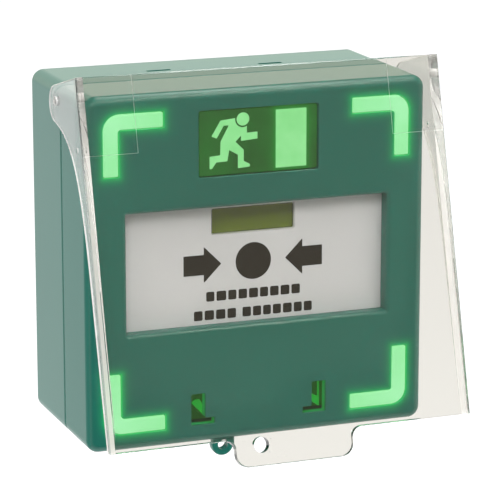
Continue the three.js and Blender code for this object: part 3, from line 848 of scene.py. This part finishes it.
def ear_outline(shrink):
    """Side of a flange in (y, z), drawn in by shrink: plate edge, sweep up to the ear, round ear."""
    centre, radius = Vector((0.5, -0.6)), 4.5
    start_angle, ear_steps = -1.11, 14
    sweep_low, sweep_high = Vector((-15.2, -46)), Vector((2.5, -4.63))
    points = [Vector((COVER_FRONT, COVER_TOP)), Vector((COVER_FRONT, COVER_BOTTOM))]
    points += [Vector((COVER_FRONT + COVER_T, COVER_BOTTOM)), sweep_low]
    points += bezier(sweep_low, (-14.5, -20), (-11, -10), sweep_high, 20)
    for k in range(1, ear_steps + 1):
        angle = start_angle + (math.pi / 2 - start_angle) * k / ear_steps
        points.append(centre + turned(Vector((radius, 0)), angle))
    inset = []
    count = len(points)
    for i, here in enumerate(points):
        along_in = (here - points[i - 1]).normalized()
        along_out = (points[(i + 1) % count] - here).normalized()
        out_in, out_out = outward(along_in), outward(along_out)
        inset.append(here - (out_in + out_out) * (shrink / (1 + out_in.dot(out_out))))
    return inset


def make_flange(side):
    outer, inner = side * COVER_HALF, side * (COVER_HALF - FLANGE_T)
    edge = quarter(0.3, 3)
    stations = [(outer - side * behind, inside) for behind, inside in edge]
    stations += [(inner + side * behind, inside) for behind, inside in edge[::-1]]
    rings = [[(x, p.x, p.y) for p in ear_outline(shrink)] for x, shrink in stations]
    return skin("flange", rings)


def make_cover():
    low = COVER_BOTTOM - TAB_DROP
    corners = [
        (COVER_HALF, COVER_TOP, 0.5),
        (-COVER_HALF, COVER_TOP, 0.5),
        (-COVER_HALF, COVER_BOTTOM, 0.6),
        (-TAB_HALF, COVER_BOTTOM, TAB_FILLET),
        (-TAB_HALF, low, TAB_R),
        (TAB_HALF, low, TAB_R),
        (TAB_HALF, COVER_BOTTOM, TAB_FILLET),
        (COVER_HALF, COVER_BOTTOM, 0.6),
    ]
    back = COVER_FRONT + COVER_T
    cover = slab("cover_shell", corners, back, COVER_FRONT, 0.25, 0.3, 8, 3)
    cover = join(cover, *[make_flange(side) for side in SIDES])
    seal = SEAL_Z - HINGE_Z
    holes = [lathe("seal_hole", [(COVER_FRONT - 1, 1.9), (back + 1, 1.9)], (SEAL_X, 0, seal), "y", 40)]
    for side in SIDES:
        profile = [(side * (COVER_HALF - 4), PIN_R + 0.25), (side * (COVER_HALF + 1), PIN_R + 0.25)]
        holes.append(lathe("ear_hole", profile, (0, 0, 0), "x"))
    cover = cut(cover, *holes)
    pips = []
    for side in SIDES:
        # Small pip on the flange that snaps over the housing's side.
        pip_x = side * (COVER_HALF - FLANGE_T)
        angles = (0, 0.5, 1.0, 1.5)
        dome = [(-side * 0.35 * math.sin(t), max(0.8 * math.cos(t), 0.02)) for t in angles]
        pips.append(lathe("pip", [(side * 0.3, 0.8), *dome], (pip_x, -12.8, -12.8), "x", 20))
    cover = join(cover, *pips)
    dress(cover, "cover", "clear_cover", LOOKS["cover"], "clear_cover")
    for look in ("cover_edge", "cover_side", "cover_corner_painted_dark"):
        cover.data.materials.append(LOOKS[look])
    edge, flange_side, corner = 1, 2, 3
    # Outer front corners take the dark tint, a painted dark edge line.
    for face in cover.data.polygons:
        sideways, forwards = abs(face.normal.x), -face.normal.y
        if face.center.y / MM > back + 0.6:
            face.material_index = edge if sideways < 0.4 else flange_side
        elif sideways > 0.2 and forwards > 0.2 and abs(face.center.x) / MM > COVER_HALF - 0.4:
            face.material_index = corner
    to_cover_place(cover)


def make_witness_lines():
    """Thin raised lines that the mould's inserts left round each top corner of the cover."""
    width, level = 0.06, -14.6
    back, front = COVER_FRONT + 0.05, COVER_FRONT - 0.02
    for side, name in SIDE_NAMES.items():
        x, edge = side * 32.4, side * (COVER_HALF - 0.3)
        corners = [
            (x - side * width / 2, COVER_TOP - 0.3, 0.0),
            (x - side * width / 2, level - width / 2, 0.0),
            (edge, level - width / 2, 0.0),
            (edge, level + width / 2, 0.0),
            (x + side * width / 2, level + width / 2, 0.0),
            (x + side * width / 2, COVER_TOP - 0.3, 0.0),
        ]
        corners = corners if side > 0 else corners[::-1]
        line = slab("witness_line_" + name, corners, back, front, steps=1)
        dress(line, "cover", "clear_cover", LOOKS["witness"])
        to_cover_place(line)


def make_hinge_pins():
    for side, name in SIDE_NAMES.items():
        inner, outer = side * (HALF - 1.9), side * (COVER_HALF - 0.2)
        profile = [
            (inner, PIN_R * 0.7),
            (inner + side * 0.3, PIN_R),
            (outer - side * 0.25, PIN_R),
            (outer - side * 0.08, PIN_R * 0.85),
            (outer, PIN_R * 0.6),
        ]
        pin = lathe("pin_" + name, profile, (0, HINGE_Y, HINGE_Z), "x", 32)
        dress(pin, "case", "clear_cover", LOOKS["cover"], "hinge_pin_" + name)


# ------------------------------------------------------------------ panel


INK = 0.03


def ink(name, corners, steps=6):
    mark = slab(name, corners, PANEL_Y + 0.05, PANEL_Y - INK, 0.0, 0.0, steps)
    dress(mark, "panel", "panel_white", LOOKS["print"])


def print_line(name, words, height, level):
    """A line of plain blocks in place of lettering: words is a list of rows of block widths."""
    gap, space = 0.55, 1.7
    width = sum(sum(w) + gap * (len(w) - 1) for w in words) + space * (len(words) - 1)
    x = -width / 2
    number = 0
    for word in words:
        for block_width in word:
            number += 1
            corners = rectangle(block_width, height, 0.35, x + block_width / 2, level)
            ink(f"{name}_{number}", corners, 3)
            x += block_width + gap
        x += space - gap


def make_panel():
    panel_back = PANEL_Y + PANEL_T
    plate = slab("panel_plate", rectangle(PANEL_W, PANEL_H, 1), panel_back, PANEL_Y, 0.2, 0.3)
    extras = []
    pusher_x, pusher_z = 24, -8
    for side in SIDES:
        profile = [(panel_back - 0.5, 2), (PANEL_HIGH.y - 0.3, 2), (PANEL_HIGH.y, 1.7)]
        extras.append(lathe("pusher", profile, (side * pusher_x, 0, pusher_z), "y"))
        x = side * (WINDOW_W / 2 + 3.4)
        low, high = (x - 0.6, panel_back - 0.5, -3), (x + 0.6, panel_back + 1.2, 15.8)
        extras.append(block("rail", low, high))
    plate = join(plate, *extras)
    window = mouth("window", rectangle(WINDOW_W, WINDOW_H, 0.5, 0, WINDOW_Z), -36, PANEL_Y, 0.2)
    plate = cut(plate, window)
    dress(plate, "panel", "panel_white", LOOKS["panel"], "press_panel")

    ink("print_dot", disc(4.6), 12)
    for side in SIDES:
        points = [
            (8.3, 0.0, 0.1),
            (12.8, -4.5, 0.1),
            (12.8, -2.5, 0.0),
            (18.0, -2.5, 0.0),
            (18.0, 2.5, 0.0),
            (12.8, 2.5, 0.0),
            (12.8, 4.5, 0.1),
        ]
        ink("print_arrow_" + SIDE_NAMES[side], mirrored(points, side), 2)
    print_line("print_upper", [[2.1, 2.5, 2.1, 2.2, 2.3, 2.1, 2.2, 2.3, 2.2]], 2.4, -8.05)
    print_line("print_lower", [[2.2, 2.4, 2.4, 2.2], [2.2, 2.1, 2.0, 2.1, 2.3, 2.1, 2.1]], 2.4, -12.65)


def make_flag():
    low, high = box_mm("flag_window")
    w, h = high.x - low.x, high.z - low.z
    pane = slab("window_pane", rectangle(w, h, 0.4, 0, WINDOW_Z), high.y, low.y, 0.1, 0.15)
    dress(pane, "panel", "window_clear", LOOKS["window"], "flag_window")
    low, high = box_mm("flag_shutter")
    w = high.x - low.x
    plate_top = WINDOW_Z + (WINDOW_H + 1.6) / 2
    h = plate_top - low.z
    plate = slab("flag_plate", rectangle(w, h, 0.4, 0, plate_top - h / 2), high.y, low.y, 0.1, 0.1)
    tab = slab("flag_tab", rectangle(WINDOW_W - 8, 2, 0.3, 0, high.z - 1), high.y, low.y, 0.1, 0.1)
    join(plate, tab)
    dress(plate, "flag", "flag_olive", LOOKS["flag"], "flag_shutter")


# ------------------------------------------------------------------ reset slider and fasteners


def make_slider():
    """Dark yoke behind the reset slots, with ribs along its two ramps whose bright green and glow are
    painted light.
    """
    low, high = box_mm("reset_slider")
    back, front = high.y, low.y
    half = high.x
    face = front + 0.7
    body = slab("slider_yoke", rectangle(2 * half, 4, 0.4, 0, -29), back, front, 0.2, 0.3)
    left = [
        (-half, -27.2, 0.3),
        (-half, -32.2, 0.3),
        (-18.0, -32.2, 0.6),
        (-13.6, -37.6, 0.8),
        (-11.0, low.z, 0.3),
        (-11.0, -27.2, 0.3),
    ]
    right = [
        (11.0, -27.2, 0.3),
        (11.0, -34.0, 0.3),
        (13.3, -34.0, 0.6),
        (17.9, -37.6, 0.8),
        (half, low.z, 0.3),
        (half, -27.2, 0.3),
    ]
    arms = [slab("arm", points, back, face, 0.2, 0.25) for points in (left, right)]
    join(body, *arms)
    dress(body, "slider", "slider_green", LOOKS["slider"], "reset_slider")

    ribs = {
        "slider_rib_left": [
            (-16.3, -34.3, 0.3),
            (-14.4, -36.3, 0.3),
            (-12.8, -38.0, 0.2),
            (-12.4, -38.2, 0.1),
            (-13.0, -35.8, 0.4),
            (-14.3, -33.4, 0.3),
            (-15.7, -33.6, 0.5),
        ],
        "slider_rib_right": [
            (14.0, -34.5, 0.2),
            (14.0, -36.2, 0.2),
            (16.8, -38.3, 0.1),
            (17.1, -38.3, 0.0),
            (17.1, -31.0, 0.0),
            (16.8, -31.0, 0.0),
            (16.8, -36.0, 0.1),
        ],
    }
    # The ribs take the bright, glowing copy of the slider's green: painted light.
    for name, points in ribs.items():
        rib = slab(name, points, face + 0.4, front, 0.0, 0.12, 4)
        dress(rib, "slider", "slider_green", LOOKS["slider_rib_painted_light"])


def coil(node, axis, turns, wire=0.22):
    """A round-wire spring that fills the box of its CAD node, wound along "y" or "z"."""
    low, high = box_mm(node)
    middle = (low + high) / 2
    along = "xyz".index(axis)
    across = 3 - along
    start, length = low[along] + wire, high[along] - low[along] - 2 * wire
    radius = (high.x - low.x) / 2 - wire
    steps, sides = turns * 24, 10
    rings = []
    for k in range(steps + 1):
        turn = 2 * math.pi * turns * k / steps
        ring = []
        for i in range(sides):
            angle = 2 * math.pi * i / sides
            reach = radius + wire * math.cos(angle)
            point = [middle.x + reach * math.cos(turn), 0.0, 0.0]
            point[across] = middle[across] + reach * math.sin(turn)
            point[along] = start + length * k / steps + wire * math.sin(angle)
            ring.append(tuple(point))
        rings.append(ring)
    return skin(node + "_coil", rings)


def make_springs():
    """Coiled springs in place of the CAD springs, wound evenly through each box; the high end of each
    CAD spring is its fixed end.
    """
    springs = [("reset_spring", "reset_lift", "z", 5)]
    springs += [("panel_spring_" + name, "panel_press", "y", 2) for name in SIDE_NAMES.values()]
    for node, joint, axis, turns in springs:
        low, high = box_mm(node)
        along = "xyz".index(axis)
        anchor = (low + high) / 2
        anchor[along] = high[along]
        spring = coil(node, axis, turns)
        dress(spring, "case", "spring_steel", LOOKS["spring"], node)
        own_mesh(spring)


def make_case_screws():
    for side, name in SIDE_NAMES.items():
        x, y = side * CLOSING_X, CLOSING_Y
        profile = [
            (-HALF + 0.1, 2.2),
            (-HALF + 0.2, 2.55),
            (-HALF + 0.45, 2.7),
            (-HALF + 0.8, 2.7),
            (-HALF + 0.8, 0.9),
            (-38.8, 0.9),
            (-38.4, 0.5),
        ]
        screw = lathe("closing_screw_" + name, profile, (x, y, 0), "z")
        slot = block("slot", (x - 3, y - 0.35, -HALF - 1), (x + 3, y + 0.35, -HALF + 0.4))
        cut(screw, slot)
        dress(screw, "case", "screw_steel", LOOKS["screw"], "case_screw_" + name)


def dress_inner_nodes():
    """CAD nodes that stay: their own material, and softened edges."""
    by_start = {
        "alarm_band": "alarm",
        "chassis_screw": "screw",
        "chassis": "chassis",
        "top_lamp_board": "board",
        "lamp_board": "board",
        "main_board": "board",
        "lamp_": "lamp",
        "terminal_block": "terminal",
        "terminal_screw": "screw",
        "board_screw": "screw",
        "microswitch": "switch",
        "switch_plunger": "plunger",
    }
    for name, node in frame["nodes"].items():
        look = next((value for start, value in by_start.items() if name.startswith(start)), None)
        if look is None:
            continue
        node.data.materials.clear()
        node.data.materials.append(LOOKS[look])
        soften = node.modifiers.new("soft_edges", "BEVEL")
        soften.width = 0.12 * MM
        soften.segments = 2
        soften.limit_method = "ANGLE"
        soften.angle_limit = math.radians(50)


make_back_box()
make_front_housing()
make_corner_lenses()
make_sign()
make_cover()
make_witness_lines()
make_hinge_pins()
make_panel()
make_flag()
make_slider()
make_springs()
make_case_screws()
dress_inner_nodes()

# ------------------------------------------------------------------ studio


def make_floor():
    """Pale floor below the wall-hung unit, from 0.3 m in front of the wall face backwards."""
    size, near, level = 10.0, -0.3, -0.35
    mesh = bpy.data.meshes.new("floor")
    corners = [(-size, near, level), (size, near, level), (size, size, level), (-size, size, level)]
    mesh.from_pydata(corners, [], [(0, 1, 2, 3)])
    floor = bpy.data.objects.new("floor", mesh)
    bpy.context.scene.collection.objects.link(floor)
    look = Look("floor_look", (0.5, 0.5, 0.5), 0.9, Specular_IOR_Level=0.0)
    look.set("Emission Color", (1.0, 1.0, 1.03, 1.0))
    look.set("Emission Strength", 0.8)
    grain = look.spread(look.noise(3.0, 2.0), 0.0, 1.0)
    tone = look.tint(grain, (0.49, 0.49, 0.49), (0.51, 0.51, 0.51))
    look.feed(look.shader.inputs["Base Color"], tone)
    mesh.materials.append(look.material)


def make_light(name, place, target, size, power, in_reflections=True):
    """A rectangular lamp of the given width and height in metres, aimed at a target."""
    data = bpy.data.lights.new(name, "AREA")
    data.shape = "RECTANGLE"
    data.size, data.size_y = size
    data.energy = power
    light = bpy.data.objects.new(name, data)
    light.location = place
    light.rotation_euler = (Vector(target) - Vector(place)).to_track_quat("-Z", "Y").to_euler()
    light.visible_glossy = in_reflections
    bpy.context.scene.collection.objects.link(light)


def make_world():
    """White surroundings behind and to the right of the unit, and a dim warm room in front of it."""
    world = bpy.data.worlds.new("studio")
    world.use_nodes = True
    bpy.context.scene.world = world
    tree = world.node_tree
    background = tree.nodes["Background"]
    direction = tree.nodes.new("ShaderNodeTexCoord").outputs["Generated"]
    parts = tree.nodes.new("ShaderNodeSeparateXYZ")
    tree.links.new(direction, parts.inputs[0])

    def ramp(value, start, end):
        node = tree.nodes.new("ShaderNodeMapRange")
        node.interpolation_type = "SMOOTHSTEP"
        tree.links.new(value, node.inputs["Value"])
        node.inputs["From Min"].default_value = start
        node.inputs["From Max"].default_value = end
        return node.outputs[0]

    def blend(factor, first, second):
        node = tree.nodes.new("ShaderNodeMix")
        node.data_type = "RGBA"
        tree.links.new(factor, node.inputs["Factor"])
        for key, value in (("A", first), ("B", second)):
            if isinstance(value, tuple):
                node.inputs[key].default_value = (*value, 1.0)
            else:
                tree.links.new(value, node.inputs[key])
        return node.outputs["Result"]

    def number(operation, first, second):
        node = tree.nodes.new("ShaderNodeMath")
        node.operation = operation
        tree.links.new(first, node.inputs[0])
        if isinstance(second, float):
            node.inputs[1].default_value = second
        else:
            tree.links.new(second, node.inputs[1])
        return node.outputs[0]

    in_front = ramp(parts.outputs["Y"], -0.25, -0.75)
    low = ramp(parts.outputs["Z"], 0.14, -0.10)
    high = ramp(parts.outputs["Z"], 0.25, 0.7)
    right = ramp(parts.outputs["X"], 0.45, 0.75)
    room = blend(right, blend(low, (0.17, 0.13, 0.08), (0.12, 0.11, 0.10)), (1.1, 1.15, 1.1))
    around = blend(high, (1.52, 1.50, 1.35), (0.35, 0.36, 0.34))
    lit = blend(in_front, around, room)
    # Seen directly, or straight through clear parts, the surroundings are plain white.
    path = tree.nodes.new("ShaderNodeLightPath")
    reflected = number("MINIMUM", path.outputs["Glossy Depth"], 1.0)
    straight = number("ADD", number("MULTIPLY", reflected, -0.5), 1.0)
    unscattered = number("LESS_THAN", path.outputs["Diffuse Depth"], 0.5)
    clear_way = number("MULTIPLY", straight, unscattered)
    through = number("MULTIPLY", path.outputs["Is Transmission Ray"], clear_way)
    seen = number("MAXIMUM", path.outputs["Is Camera Ray"], through)
    tree.links.new(blend(seen, lit, (1.0, 1.0, 1.0)), background.inputs["Color"])


make_floor()
make_world()
make_light("key", (-0.27, -0.78, 0.68), (0, -0.02, 0), (0.40, 0.35), 5.0, in_reflections=False)
make_light("overhead", (0.35, -0.22, 0.90), (0.35, -0.04, 0), (0.16, 1.50), 8.6)
bpy.context.scene.view_settings.view_transform = "Standard"
